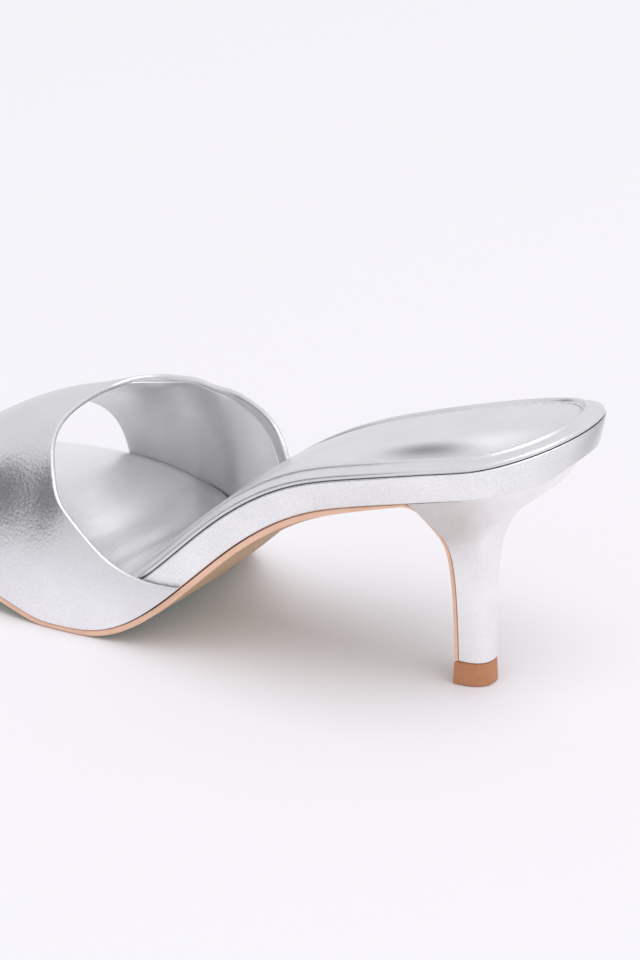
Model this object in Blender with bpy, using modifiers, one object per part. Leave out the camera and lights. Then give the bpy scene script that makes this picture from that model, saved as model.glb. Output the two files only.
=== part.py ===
"""A left heeled mule: one open-toe vamp band on a wrapped insole board, a padded sock, a leather outsole
that turns down the front of a slim covered heel, and a top piece. Metres, +X to the toe, +Y to the
outer (lateral) side, +Z up, standing on the floor."""

import math

import bmesh
import bpy
import numpy as np

# Driving sizes of the shoe. The starts and ends are shares of the footbed's length.
FOOTBED_LENGTH = 0.229
BALL_WIDTH = 0.084
SEAT_RISE = 0.0702
TOE_SPRING = 0.0080
INSTEP_HEIGHT = 0.0535
OUTSOLE_THICKNESS = 0.0017
FLAP_THICKNESS = 0.0012
WAIST_BELLY = 0.0030
BOARD_THICKNESS = 0.0081
BOARD_WALL_LEAN = 0.0020
WALL_LEAN_START = 0.25
WALL_LEAN_END = 0.50
BOARD_BACK_LEAN = 0.0062
BOARD_BACK_DROP = 0.0024
BOARD_BACK_REACH = 0.0140
SOCK_SETBACK = 0.0004
SOCK_EDGE = 0.0008
SOCK_RIM_WIDTH = 0.0041
SOCK_RIM_RISE = 0.0015
SOCK_BEAD = 0.0005
SOCK_BEAD_WIDTH = 0.0015
SOCK_CUSHION_STEP = 0.00025
SOCK_CROWN = 0.0010
SOCK_CROWN_POWER = 4
SOCK_FOREFOOT_PAD = 0.0020
SOCK_PAD_START = 0.55
SOCK_PAD_END = 0.675
UPPER_WALL = 0.0016
UPPER_CLEARANCE = 0.0006
HEEL_STEM_SETBACK = 0.0308
HEEL_STEM_DEPTH = 0.0076
HEEL_STEM_WIDTH = 0.0119
HEEL_SEAT_INSET = 0.0008
BREAST_FROM_BACK = 0.0425
BREAST_FILLET = 0.0040
TOP_PIECE_HEIGHT = 0.0066
TOP_PIECE_FLARE = 0.0003
TOP_PIECE_BEVEL = 0.0006
GAP = 0.0003

# How finely the solids are faceted
FOOTBED_ROWS = 44
FOOTBED_COLUMNS = 6
FILLET_ROWS = 5
VAMP_AROUND = 32
VAMP_ALONG = 14
HEEL_ROWS = 10
SHARP_ANGLE = 40
NORMAL_STEP = 1e-4
WELD_DISTANCE = 1e-6

# Plan outline of the insole board. at is the share of the footbed's length from the back of the seat,
# lateral and medial are shares of the ball width from the heel's own centre line.
OUTLINE_COLUMNS = ("at", "lateral", "medial")
OUTLINE = (
    (0.000, -0.006, -0.006),
    (0.020, 0.192, -0.212),
    (0.050, 0.275, -0.297),
    (0.090, 0.328, -0.334),
    (0.130, 0.346, -0.331),
    (0.190, 0.356, -0.303),
    (0.270, 0.340, -0.270),
    (0.370, 0.315, -0.229),
    (0.450, 0.325, -0.240),
    (0.520, 0.337, -0.345),
    (0.600, 0.343, -0.518),
    (0.660, 0.352, -0.622),
    (0.710, 0.345, -0.652),
    (0.770, 0.317, -0.631),
    (0.830, 0.257, -0.576),
    (0.890, 0.164, -0.498),
    (0.940, 0.060, -0.411),
    (0.975, -0.042, -0.327),
    (1.000, -0.195, -0.195),
)

# Side profile of the board's underside: shares of the seat's rise and of the toe spring. Under the ball
# it dips by a hair, so that the outsole, cut at the floor, is flat there.
PROFILE_COLUMNS = ("at", "seat", "spring")
PROFILE = (
    (0.000, 1.000, 0.00),
    (0.079, 0.912, 0.00),
    (0.144, 0.862, 0.00),
    (0.262, 0.756, 0.00),
    (0.349, 0.645, 0.00),
    (0.432, 0.456, 0.00),
    (0.515, 0.198, 0.00),
    (0.598, 0.020, 0.00),
    (0.630, -0.001, 0.00),
    (0.659, -0.004, 0.00),
    (0.690, -0.003, 0.02),
    (0.725, 0.000, 0.22),
    (0.808, 0.000, 0.70),
    (0.913, 0.000, 0.98),
    (1.000, 0.000, 1.00),
)

# How far the outsole's edge stands past the board's lower edge, in shares of the upper's wall, its
# thickness in shares of the full one, and how far its underside is rounded down at the middle, in
# shares of the waist's belly
WELT_COLUMNS = ("at", "margin", "thickness", "belly")
WELT = (
    (0.00, -0.40, 0.60, 0.00),
    (0.20, -0.40, 0.45, 0.20),
    (0.30, -0.40, 0.95, 1.00),
    (0.40, -0.40, 1.00, 0.65),
    (0.48, -0.10, 1.00, 0.40),
    (0.54, 0.80, 1.00, 0.20),
    (0.60, 1.20, 1.00, 0.00),
    (0.65, 1.20, 1.00, 0.00),
    (0.90, 1.20, 1.00, 0.00),
    (1.00, 0.60, 1.00, 0.00),
)

# The last over the forefoot. height is the crest's height above the board's underside in shares of the
# instep height, crest its place across in shares of the ball width, and lateral and medial are how far
# the middle of each side swells, in shares of the ball width.
LAST_COLUMNS = ("at", "height", "crest", "lateral", "medial")
LAST = (
    (0.447, 1.080, -0.100, 0.012, -0.050),
    (0.526, 1.110, -0.115, 0.012, -0.035),
    (0.605, 1.100, -0.135, 0.012, -0.010),
    (0.664, 1.060, -0.155, 0.010, 0.000),
    (0.724, 0.910, -0.165, 0.005, 0.000),
    (0.783, 0.780, -0.170, 0.000, 0.000),
    (0.842, 0.630, -0.175, 0.000, 0.000),
    (0.901, 0.450, -0.180, 0.000, 0.000),
)

# How full the section is: reach of its curve's handles up from the feather, and out from the crest to
# the lateral and to the medial side
FEATHER_HANDLE = 0.68
LATERAL_HANDLE = 0.70
MEDIAL_HANDLE = 0.54

# The vamp band's two edges as shares of the footbed's length. around runs from the lateral feather (0)
# over the crest (1) to the medial feather (2).
BAND_COLUMNS = ("around", "throat", "toe")
BAND = (
    (0.00, 0.492, 0.803),
    (0.10, 0.539, 0.808),
    (0.21, 0.596, 0.815),
    (0.31, 0.647, 0.825),
    (0.43, 0.685, 0.838),
    (0.57, 0.712, 0.852),
    (0.75, 0.732, 0.869),
    (1.00, 0.732, 0.879),
    (1.20, 0.703, 0.862),
    (1.40, 0.598, 0.829),
    (1.60, 0.516, 0.806),
    (1.80, 0.464, 0.797),
    (2.00, 0.440, 0.792),
)

# The heel's flare. rise is the share of its height. front, width and back are how far its breast face,
# its width and its back have spread from the stem to the seat there (the back first draws in), and flap
# is the outsole flap's width as a share of the breast's.
HEEL_COLUMNS = ("rise", "front", "width", "back", "flap")
HEEL = (
    (0.000, 0.000, 0.000, 0.000, 1.00),
    (0.200, 0.100, 0.000, -0.016, 1.00),
    (0.400, 0.280, 0.000, -0.044, 1.00),
    (0.500, 0.405, 0.012, -0.054, 1.00),
    (0.550, 0.470, 0.030, -0.046, 1.00),
    (0.610, 0.545, 0.075, -0.018, 0.99),
    (0.670, 0.620, 0.155, 0.075, 0.98),
    (0.730, 0.690, 0.280, 0.262, 0.97),
    (0.790, 0.765, 0.430, 0.468, 0.96),
    (0.850, 0.835, 0.590, 0.670, 0.95),
    (0.910, 0.900, 0.750, 0.850, 0.95),
    (0.960, 0.950, 0.885, 0.950, 0.95),
    (1.000, 1.000, 1.000, 1.000, 0.95),
)
STEM_SQUARENESS = 0.80

# Colour, roughness and metallic value of each material
SILVER_LEATHER = ((0.78, 0.78, 0.79), 0.30, 0.85)
TAN_LEATHER = ((0.72, 0.45, 0.33), 0.50, 0.0)
TAN_RUBBER = ((0.62, 0.31, 0.18), 0.42, 0.0)


def column(table, names, name):
    """One named column of a table as an array."""
    return np.array([row[names.index(name)] for row in table])


def spline(knots, values, at):
    """Natural cubic spline through the knots, read at each place in at."""
    count = len(knots)
    step = np.diff(knots)
    rise = np.diff(values) / step
    system = np.eye(count)
    right = np.zeros(count)
    for i in range(1, count - 1):
        system[i, i - 1 : i + 2] = (step[i - 1], 2 * (step[i - 1] + step[i]), step[i])
        right[i] = 6 * (rise[i] - rise[i - 1])
    bend = np.linalg.solve(system, right)
    at = np.clip(np.asarray(at, float), knots[0], knots[-1])
    cell = np.clip(np.searchsorted(knots, at) - 1, 0, count - 2)
    width = step[cell]
    before = (knots[cell + 1] - at) / width
    after = 1 - before
    bending = (before**3 - before) * bend[cell] + (after**3 - after) * bend[cell + 1]
    return before * values[cell] + after * values[cell + 1] + bending * width**2 / 6


def smooth(share):
    """A share from 0 to 1 eased at both ends."""
    share = np.clip(share, 0, 1)
    return share * share * (3 - 2 * share)


def read(table, names, name, at):
    """A column read by spline at places along the table's first column."""
    return spline(column(table, names, names[0]), column(table, names, name), at)


def unroll(at):
    """Share of the length turned into an angle share, in which a round end is straight."""
    return np.arccos(np.clip(1 - 2 * np.asarray(at, float), -1, 1)) / math.pi


def edge(side, at):
    """Signed distance across from the heel's centre line to the board's edge."""
    knots = unroll(column(OUTLINE, OUTLINE_COLUMNS, "at"))
    shares = column(OUTLINE, OUTLINE_COLUMNS, side)
    return spline(knots, shares, unroll(at)) * BALL_WIDTH


def board_height(at):
    """Height of the board's underside above the floor."""
    seat = read(PROFILE, PROFILE_COLUMNS, "seat", at) * SEAT_RISE
    spring = read(PROFILE, PROFILE_COLUMNS, "spring", at) * TOE_SPRING
    return OUTSOLE_THICKNESS + GAP + seat + spring


def profile_normal(at):
    """Unit normal of the board's underside in the side view, pointing up, as x and z."""
    low = np.clip(np.asarray(at, float) - NORMAL_STEP, 0, 1)
    high = np.clip(np.asarray(at, float) + NORMAL_STEP, 0, 1)
    slope = (board_height(high) - board_height(low)) / ((high - low) * FOOTBED_LENGTH)
    length = np.hypot(1, slope)
    return -slope / length, 1 / length


def lifted(plan, lift):
    """Plan points carried to a lift above the board's underside, measured square to its profile."""
    at = np.clip(plan[..., 0] / FOOTBED_LENGTH, 0, 1)
    normal_x, normal_z = profile_normal(at)
    x = plan[..., 0] + normal_x * lift
    z = board_height(at) + normal_z * lift
    return np.stack([x, plan[..., 1], z], -1)


def footbed_loop(start=0.0, rows=FOOTBED_ROWS):
    """The board's plan outline from a share of its length: out along the lateral side, back the other."""
    turn = np.linspace(unroll(start), 1, rows + 1)
    at = (1 - np.cos(math.pi * turn)) / 2
    lateral = np.stack([at * FOOTBED_LENGTH, edge("lateral", at)], -1)
    medial = np.stack([at * FOOTBED_LENGTH, edge("medial", at)], -1)
    return np.concatenate([lateral, medial[::-1]])


def unit(vectors):
    """Vectors brought to unit length."""
    return vectors / np.linalg.norm(vectors, axis=-1, keepdims=True)


def inset_loop(loop, distance, closed=True):
    """The loop moved inwards by a distance. Its toe is a doubled point, and so is a closed one's back."""
    half = len(loop) // 2
    doubles = [half, 0] if closed else [half]
    single = np.delete(loop, doubles, axis=0)
    amount = np.delete(np.broadcast_to(distance, len(loop)), doubles)
    ahead = unit(np.roll(single, -1, 0) - single)
    behind = unit(single - np.roll(single, 1, 0))
    if not closed:
        ahead[-1] = behind[-1]
        behind[0] = ahead[0]
    along = unit(ahead + behind)
    inward = np.stack([along[:, 1], -along[:, 0]], -1)
    moved = single + inward * amount[:, None]
    toe = half - len(doubles)
    moved = np.insert(moved, toe, moved[toe], axis=0)
    return np.concatenate([moved[-1:], moved]) if closed else moved


def across(loop, columns=FOOTBED_COLUMNS):
    """Rows of points that fill a plan loop from its lateral side to its medial side."""
    half = len(loop) // 2
    share = np.linspace(0, 1, columns + 1)[None, :, None]
    lateral = loop[:half, None, :]
    medial = loop[: half - 1 : -1, None, :]
    return lateral + (medial - lateral) * share


def perimeter(rows, columns):
    """Indices of the points round the rim of a grid, in order."""
    index = np.arange(rows * columns).reshape(rows, columns)
    return [*index[:, 0], *index[-1, 1:-1], *index[::-1, -1], *index[0, -2:0:-1]]


def grid_faces(rows, columns, start):
    """Quads of a grid of points whose first index is start."""
    faces = []
    for i in range(rows - 1):
        for j in range(columns - 1):
            corner = start + i * columns + j
            faces.append((corner, corner + 1, corner + columns + 1, corner + columns))
    return faces


def add_object(name, mesh, material):
    """A smooth-shaded object in the shoe's collection, hung on its frame."""
    mesh.materials.append(material)
    mesh.shade_smooth()
    mesh.set_sharp_from_angle(angle=math.radians(SHARP_ANGLE))
    item = bpy.data.objects.new(name, mesh)
    bpy.data.collections["heeled_mule"].objects.link(item)
    item.parent = bpy.data.objects["shoe_frame"]
    return item


def mesh_from(name, points, faces):
    """A mesh from points and faces, with points at one place welded and faces turned outward."""
    work = bmesh.new()
    corners = [work.verts.new(point) for point in points]
    for face in faces:
        work.faces.new([corners[i] for i in face])
    bmesh.ops.remove_doubles(work, verts=work.verts, dist=WELD_DISTANCE)
    bmesh.ops.recalc_face_normals(work, faces=work.faces)
    mesh = bpy.data.meshes.new(name)
    work.to_mesh(mesh)
    work.free()
    return mesh


def layered_solid(name, material, layers):
    """A closed solid: the first and last grids are its caps, and the rims of all make its wall."""
    rows, columns, _ = layers[0].shape
    rim = perimeter(rows, columns)
    size = rows * columns
    last = (len(layers) - 1) * size
    faces = grid_faces(rows, columns, 0) + grid_faces(rows, columns, last)
    for layer in range(len(layers) - 1):
        low = [layer * size + i for i in rim]
        high = [i + size for i in low]
        for k in range(len(rim)):
            n = (k + 1) % len(rim)
            faces.append((low[k], low[n], high[n], high[k]))
    points = np.concatenate([layer.reshape(-1, 3) for layer in layers])
    return add_object(name, mesh_from(name, points, faces), material)


def board_lean(loop):
    """Inset of the board's lower edge: its wall leans in round the seat, most of all at the back."""
    at = loop[:, 0] / FOOTBED_LENGTH
    round_seat = smooth((WALL_LEAN_END - at) / (WALL_LEAN_END - WALL_LEAN_START))
    back = np.clip(1 - loop[:, 0] / BOARD_BACK_REACH, 0, 1)
    return BOARD_WALL_LEAN * round_seat + BOARD_BACK_LEAN * back * back


def board_under(plan):
    """Plan points on the board's underside, which hangs lower at the very back of the seat."""
    points = lifted(plan, 0.0)
    points[..., 2] -= BOARD_BACK_DROP * smooth(1 - plan[..., 0] / BOARD_BACK_REACH)
    return points


def make_board(material):
    """The wrapped insole board, whose wall shows as the bright band round the footbed."""
    loop = footbed_loop()
    low = board_under(across(inset_loop(loop, board_lean(loop))))
    high = lifted(across(loop), BOARD_THICKNESS)
    return layered_solid("insole_board", material, [low, high])


def sock_plan(loop, inset, lift, crown=0.0):
    """A grid of the sock's surface, raised by the pad under the forefoot."""
    plan = across(inset_loop(loop, inset))
    at = plan[..., 0] / FOOTBED_LENGTH
    pad = smooth((at - SOCK_PAD_START) / (SOCK_PAD_END - SOCK_PAD_START))
    return lifted(plan, lift + SOCK_FOREFOOT_PAD * pad + crown)


def make_sock(material):
    """The padded sock: a sloping rim, a raised bead along its stitching and a crowned cushion."""
    loop = footbed_loop()
    base = BOARD_THICKNESS + GAP
    top = base + SOCK_EDGE + SOCK_RIM_RISE
    rim = SOCK_SETBACK + SOCK_RIM_WIDTH
    cushion = rim + SOCK_BEAD_WIDTH
    side = 2 * np.linspace(0, 1, FOOTBED_COLUMNS + 1) - 1
    crown = 1 - side**SOCK_CROWN_POWER
    inner = across(inset_loop(loop, cushion))
    width = np.abs(inner[:, 0, 1] - inner[:, -1, 1])
    fade = np.clip(width / (BALL_WIDTH / 2), 0, 1)[:, None]
    layers = [
        lifted(across(inset_loop(loop, SOCK_SETBACK)), base),
        sock_plan(loop, SOCK_SETBACK, base + SOCK_EDGE),
        sock_plan(loop, rim, top),
        sock_plan(loop, rim + SOCK_BEAD, top + SOCK_BEAD),
        sock_plan(loop, cushion, top + SOCK_CUSHION_STEP, SOCK_CROWN * fade * crown),
    ]
    return layered_solid("padded_sock", material, layers)


def stem_grid():
    """Plan grid of the heel's stem: rounded at the back and flat at the breast."""
    turn = np.linspace(0, math.pi / 2, HEEL_ROWS + 1)
    front = HEEL_STEM_SETBACK + HEEL_STEM_DEPTH
    x = front - HEEL_STEM_DEPTH * np.clip(np.cos(turn), 0, 1) ** STEM_SQUARENESS
    y = HEEL_STEM_WIDTH / 2 * np.sin(turn) ** STEM_SQUARENESS
    return across(np.concatenate([np.stack([x, y], -1), np.stack([x, -y], -1)[::-1]]))


def seat_grid():
    """Plan grid of the heel's seat under the back of the board."""
    turn = np.linspace(0, unroll(BREAST_FROM_BACK / FOOTBED_LENGTH), HEEL_ROWS + 1)
    at = (1 - np.cos(math.pi * turn)) / 2
    inset = BOARD_WALL_LEAN + HEEL_SEAT_INSET
    back = BOARD_BACK_LEAN + inset
    middle = edge("lateral", 0.0)
    x = back + (BREAST_FROM_BACK - back) * at / at[-1]
    sides = []
    for side in ("lateral", "medial"):
        full = edge(side, at) - middle
        widest = np.abs(full).max()
        sides.append(np.stack([x, middle + full * (1 - inset / widest)], -1))
    return across(np.concatenate([sides[0], sides[1][::-1]]))


def heel_level(rise):
    """The heel's grid at a share of its height."""
    stem = stem_grid()
    seat = seat_grid()
    seat_height = board_under(seat)[..., 2] - GAP
    front = read(HEEL, HEEL_COLUMNS, "front", rise)
    width = read(HEEL, HEEL_COLUMNS, "width", rise)
    back = read(HEEL, HEEL_COLUMNS, "back", rise)
    behind = (BREAST_FROM_BACK - seat[..., 0]) / np.ptp(seat[..., 0])
    spread = np.stack([front + (back - front) * behind, np.full_like(behind, width)], -1)
    plan = stem + (seat - stem) * spread
    foot = TOP_PIECE_HEIGHT + GAP
    height = foot + (seat_height - foot) * rise
    return np.concatenate([plan, height[..., None]], -1)


def make_heel(material):
    """The covered heel, lofted from its slim stem to the seat."""
    levels = [heel_level(rise) for rise in column(HEEL, HEEL_COLUMNS, "rise")]
    return layered_solid("heel", material, levels)


def make_top_piece(material):
    """The top piece under the stem and the outsole's flap, with its flat face on the floor."""
    plan = stem_grid()
    deeper = 1 + (GAP + FLAP_THICKNESS) / HEEL_STEM_DEPTH
    plan[..., 0] = HEEL_STEM_SETBACK + (plan[..., 0] - HEEL_STEM_SETBACK) * deeper
    centre = np.array([HEEL_STEM_SETBACK + HEEL_STEM_DEPTH * deeper / 2, 0.0])
    layers = []
    for height, flare in (
        (0.0, TOP_PIECE_FLARE - TOP_PIECE_BEVEL),
        (TOP_PIECE_BEVEL, TOP_PIECE_FLARE),
        (TOP_PIECE_HEIGHT, 0.0),
    ):
        grown = centre + (plan - centre) * (1 + 2 * flare / HEEL_STEM_WIDTH)
        layers.append(np.concatenate([grown, np.full((*grown.shape[:2], 1), height)], -1))
    return layered_solid("top_piece", material, layers)


def flap_rows():
    """The outsole's flap down the breast, from the stem's foot up: its back and its front grids."""
    rises = column(HEEL, HEEL_COLUMNS, "rise")
    breast = np.array([heel_level(rise)[-1] for rise in rises])
    shares = column(HEEL, HEEL_COLUMNS, "flap")
    line = breast[:, 0, [0, 2]]
    along = unit(np.gradient(line, axis=0))
    forward = np.stack([along[:, 1], -along[:, 0]], -1)
    middle = breast[:, :, 1].mean(1, keepdims=True)
    y = middle + (breast[:, :, 1] - middle) * shares[:, None]
    grids = []
    for depth in (GAP, GAP + FLAP_THICKNESS):
        place = line + forward * depth
        x, z = np.broadcast_to(place[:, None, :], (*y.shape, 2)).transpose(2, 0, 1)
        grids.append(np.stack([x, y, z], -1))
    return grids


def sole_rows():
    """The outsole under the board, from the breast to the toe: its upper and its under grids."""
    start = (BREAST_FROM_BACK + BREAST_FILLET) / FOOTBED_LENGTH
    loop = footbed_loop(start)
    margin = read(WELT, WELT_COLUMNS, "margin", loop[:, 0] / FOOTBED_LENGTH) * UPPER_WALL
    plan = across(inset_loop(loop, board_lean(loop) - margin, closed=False))
    at = plan[..., 0] / FOOTBED_LENGTH
    thickness = read(WELT, WELT_COLUMNS, "thickness", at) * OUTSOLE_THICKNESS
    belly = np.clip(read(WELT, WELT_COLUMNS, "belly", at), 0, None) * WAIST_BELLY
    side = 2 * np.linspace(0, 1, FOOTBED_COLUMNS + 1) - 1
    upper = lifted(plan, -GAP)
    under = lifted(plan, -GAP - thickness - belly * (1 - side**2))
    under[..., 2] = np.maximum(under[..., 2], 0)
    return upper, under


def bent(flap, sole, drop):
    """Rows that turn from the flap into the sole round the breast's top corner, lowered by a drop."""
    share = np.linspace(0, 1, FILLET_ROWS + 1)[1:-1, None, None]
    corner = flap[-1] + np.array([0, 0, -drop])
    turn = (1 - share) ** 2 * flap[-3] + 2 * share * (1 - share) * corner + share**2 * sole[0]
    return np.concatenate([flap[:-2], turn, sole])


def make_outsole(material):
    """The leather outsole from the toe to the breast, and its flap down to the top piece."""
    flap_back, flap_front = flap_rows()
    upper, under = sole_rows()
    layers = [bent(flap_back, upper, 0.0), bent(flap_front, under, FLAP_THICKNESS)]
    return layered_solid("outsole", material, layers)


def vamp_inside(at, around):
    """Points of the last under the vamp: a section across the board, swept along it."""
    lateral = around <= 1
    side = np.where(lateral, around, 2 - around)
    low = np.clip(at - NORMAL_STEP, 0, 1)
    high = np.clip(at + NORMAL_STEP, 0, 1)
    feather = np.empty_like(at)
    swell = np.empty_like(at)
    reach = np.where(lateral, LATERAL_HANDLE, MEDIAL_HANDLE)
    for name, pick, sign in (("lateral", lateral, 1), ("medial", ~lateral, -1)):
        slope = (edge(name, high) - edge(name, low)) / ((high - low) * FOOTBED_LENGTH)
        clear = sign * UPPER_CLEARANCE * np.hypot(1, slope)
        feather[pick] = (edge(name, at) + clear)[pick]
        swell[pick] = (read(LAST, LAST_COLUMNS, name, at) * BALL_WIDTH)[pick]
    crest = read(LAST, LAST_COLUMNS, "crest", at) * BALL_WIDTH
    height = read(LAST, LAST_COLUMNS, "height", at) * INSTEP_HEIGHT
    shares = ((1 - side) ** 3, 3 * side * (1 - side) ** 2, 3 * side**2 * (1 - side), side**3)
    y_knots = (feather, feather, crest + reach * (feather - crest), crest)
    rise_knots = (0 * height, FEATHER_HANDLE * height, height, height)
    y = sum(share * knot for share, knot in zip(shares, y_knots)) + swell * (4 * side * (1 - side)) ** 2
    rise = sum(share * knot for share, knot in zip(shares, rise_knots))
    normal_x, normal_z = profile_normal(at)
    lean = BOARD_THICKNESS * np.tanh(rise / BOARD_THICKNESS)
    x = at * FOOTBED_LENGTH + normal_x * lean
    z = board_height(at) + rise - (1 - normal_z) * lean
    return np.stack([x, y, z], -1)


def make_upper(material):
    """The hollow vamp band, open at the throat, the toe and underneath."""
    around = (1 - np.cos(np.linspace(0, math.pi, VAMP_AROUND + 1)))[:, None]
    along = np.linspace(0, 1, VAMP_ALONG + 1)[None, :]
    throat = read(BAND, BAND_COLUMNS, "throat", around)
    toe = read(BAND, BAND_COLUMNS, "toe", around)
    at = throat + (toe - throat) * along
    points = vamp_inside(at, np.broadcast_to(around, at.shape)).reshape(-1, 3)
    faces = grid_faces(VAMP_AROUND + 1, VAMP_ALONG + 1, 0)
    upper = add_object("upper", mesh_from("upper", points, faces), material)
    wall = upper.modifiers.new("wall", "SOLIDIFY")
    wall.thickness = UPPER_WALL
    wall.offset = 1.0
    wall.use_even_offset = True
    return upper


def make_material(name, look):
    """A Principled material from a colour, a roughness and a metallic value."""
    colour, roughness, metallic = look
    material = bpy.data.materials.new(name)
    material.use_nodes = True
    shader = material.node_tree.nodes["Principled BSDF"]
    shader.inputs["Base Color"].default_value = (*colour, 1.0)
    shader.inputs["Roughness"].default_value = roughness
    shader.inputs["Metallic"].default_value = metallic
    return material


def main():
    """Build the shoe with its origin at the middle of its box on the floor."""
    for item in list(bpy.data.objects):
        bpy.data.objects.remove(item, do_unlink=True)
    shoe = bpy.data.collections.new("heeled_mule")
    bpy.context.scene.collection.children.link(shoe)
    frame = bpy.data.objects.new("shoe_frame", None)
    shoe.objects.link(frame)
    make_outsole(make_material("outsole_leather", TAN_LEATHER))
    make_board(make_material("board_wrap", SILVER_LEATHER))
    make_sock(make_material("sock_leather", SILVER_LEATHER))
    make_upper(make_material("upper_leather", SILVER_LEATHER))
    make_heel(make_material("heel_cover", SILVER_LEATHER))
    make_top_piece(make_material("top_piece_rubber", TAN_RUBBER))
    bpy.context.view_layer.update()
    depsgraph = bpy.context.evaluated_depsgraph_get()
    corners = []
    for item in shoe.objects:
        if item.type == "MESH":
            mesh = item.evaluated_get(depsgraph).data
            corners.extend(vertex.co[:] for vertex in mesh.vertices)
    box = np.array(corners)
    middle = (box.min(0) + box.max(0)) / 2
    frame.location = (-middle[0], -middle[1], 0.0)
    bpy.context.view_layer.update()


main()
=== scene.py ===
"""The looks of a left heeled mule in silver foil leather: an open-toe vamp band, a wrapped board, a
padded stitched sock, a tan outsole that turns down the heel's breast, and a covered heel. The forms
are lofted from the shoe's own sections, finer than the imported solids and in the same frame."""

import math

import bmesh
import bpy
import numpy as np
from mathutils import Matrix, Vector


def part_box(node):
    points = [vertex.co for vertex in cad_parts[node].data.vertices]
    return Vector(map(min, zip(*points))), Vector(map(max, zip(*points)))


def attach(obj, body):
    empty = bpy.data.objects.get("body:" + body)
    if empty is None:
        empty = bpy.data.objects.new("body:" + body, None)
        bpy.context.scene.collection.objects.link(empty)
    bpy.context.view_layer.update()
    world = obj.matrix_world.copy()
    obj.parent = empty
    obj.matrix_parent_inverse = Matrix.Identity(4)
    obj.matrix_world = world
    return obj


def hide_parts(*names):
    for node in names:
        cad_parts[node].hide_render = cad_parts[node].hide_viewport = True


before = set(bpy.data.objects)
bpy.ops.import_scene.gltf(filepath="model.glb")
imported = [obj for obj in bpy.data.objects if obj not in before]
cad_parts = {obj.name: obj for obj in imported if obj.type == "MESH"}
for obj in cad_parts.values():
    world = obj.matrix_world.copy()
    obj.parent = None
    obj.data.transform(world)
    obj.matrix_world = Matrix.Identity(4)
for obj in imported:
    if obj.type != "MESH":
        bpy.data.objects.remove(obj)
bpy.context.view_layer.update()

# Driving sizes of the shoe. The starts and ends are shares of the footbed's length.
FOOTBED_LENGTH = 0.229
BALL_WIDTH = 0.084
SEAT_RISE = 0.0702
TOE_SPRING = 0.0080
INSTEP_HEIGHT = 0.0535
OUTSOLE_THICKNESS = 0.0017
FLAP_THICKNESS = 0.0012
WAIST_BELLY = 0.0030
BOARD_THICKNESS = 0.0081
BOARD_WALL_LEAN = 0.0020
WALL_LEAN_START = 0.25
WALL_LEAN_END = 0.50
BOARD_BACK_LEAN = 0.0062
BOARD_BACK_DROP = 0.0024
BOARD_BACK_REACH = 0.0140
SOCK_SETBACK = 0.0004
SOCK_CROWN = 0.0010
SOCK_CROWN_POWER = 4
SOCK_FOREFOOT_PAD = 0.0020
SOCK_PAD_START = 0.55
SOCK_PAD_END = 0.675
UPPER_WALL = 0.0016
UPPER_CLEARANCE = 0.0006
HEEL_STEM_SETBACK = 0.0308
HEEL_STEM_DEPTH = 0.0076
HEEL_STEM_WIDTH = 0.0119
HEEL_SEAT_INSET = 0.0008
BREAST_FROM_BACK = 0.0425
BREAST_FILLET = 0.0040
TOP_PIECE_HEIGHT = 0.0066
TOP_PIECE_FLARE = 0.0003
TOP_PIECE_BEVEL = 0.0006
GAP = 0.0003

# The step over which slopes are taken, as a share of the footbed's length, and the weld's reach
NORMAL_STEP = 1e-4
WELD_DISTANCE = 1e-6

# Plan outline of the insole board. at is the share of the footbed's length from the back of the seat,
# lateral and medial are shares of the ball width from the heel's own centre line.
OUTLINE_COLUMNS = ("at", "lateral", "medial")
OUTLINE = (
    (0.000, -0.006, -0.006),
    (0.020, 0.192, -0.212),
    (0.050, 0.275, -0.297),
    (0.090, 0.328, -0.334),
    (0.130, 0.346, -0.331),
    (0.190, 0.356, -0.303),
    (0.270, 0.340, -0.270),
    (0.370, 0.315, -0.229),
    (0.450, 0.325, -0.240),
    (0.520, 0.337, -0.345),
    (0.600, 0.343, -0.518),
    (0.660, 0.352, -0.622),
    (0.710, 0.345, -0.652),
    (0.770, 0.317, -0.631),
    (0.830, 0.257, -0.576),
    (0.890, 0.164, -0.498),
    (0.940, 0.060, -0.411),
    (0.975, -0.042, -0.327),
    (1.000, -0.195, -0.195),
)

# Side profile of the board's underside: shares of the seat's rise and of the toe spring. Under the ball
# it dips by a hair, so that the outsole, cut at the floor, is flat there.
PROFILE_COLUMNS = ("at", "seat", "spring")
PROFILE = (
    (0.000, 1.000, 0.00),
    (0.079, 0.912, 0.00),
    (0.144, 0.862, 0.00),
    (0.262, 0.756, 0.00),
    (0.349, 0.645, 0.00),
    (0.432, 0.456, 0.00),
    (0.515, 0.198, 0.00),
    (0.598, 0.020, 0.00),
    (0.630, -0.001, 0.00),
    (0.659, -0.004, 0.00),
    (0.690, -0.003, 0.02),
    (0.725, 0.000, 0.22),
    (0.808, 0.000, 0.70),
    (0.913, 0.000, 0.98),
    (1.000, 0.000, 1.00),
)

# How far the outsole's edge stands past the board's lower edge, in shares of the upper's wall, its
# thickness in shares of the full one, and how far its underside is rounded down at the middle, in
# shares of the waist's belly
WELT_COLUMNS = ("at", "margin", "thickness", "belly")
WELT = (
    (0.00, -0.40, 0.60, 0.00),
    (0.20, -0.40, 0.45, 0.20),
    (0.30, -0.40, 0.95, 1.00),
    (0.40, -0.40, 1.00, 0.65),
    (0.48, -0.10, 1.00, 0.40),
    (0.54, 0.80, 1.00, 0.20),
    (0.60, 1.20, 1.00, 0.00),
    (0.65, 1.20, 1.00, 0.00),
    (0.90, 1.20, 1.00, 0.00),
    (1.00, 0.60, 1.00, 0.00),
)

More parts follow.
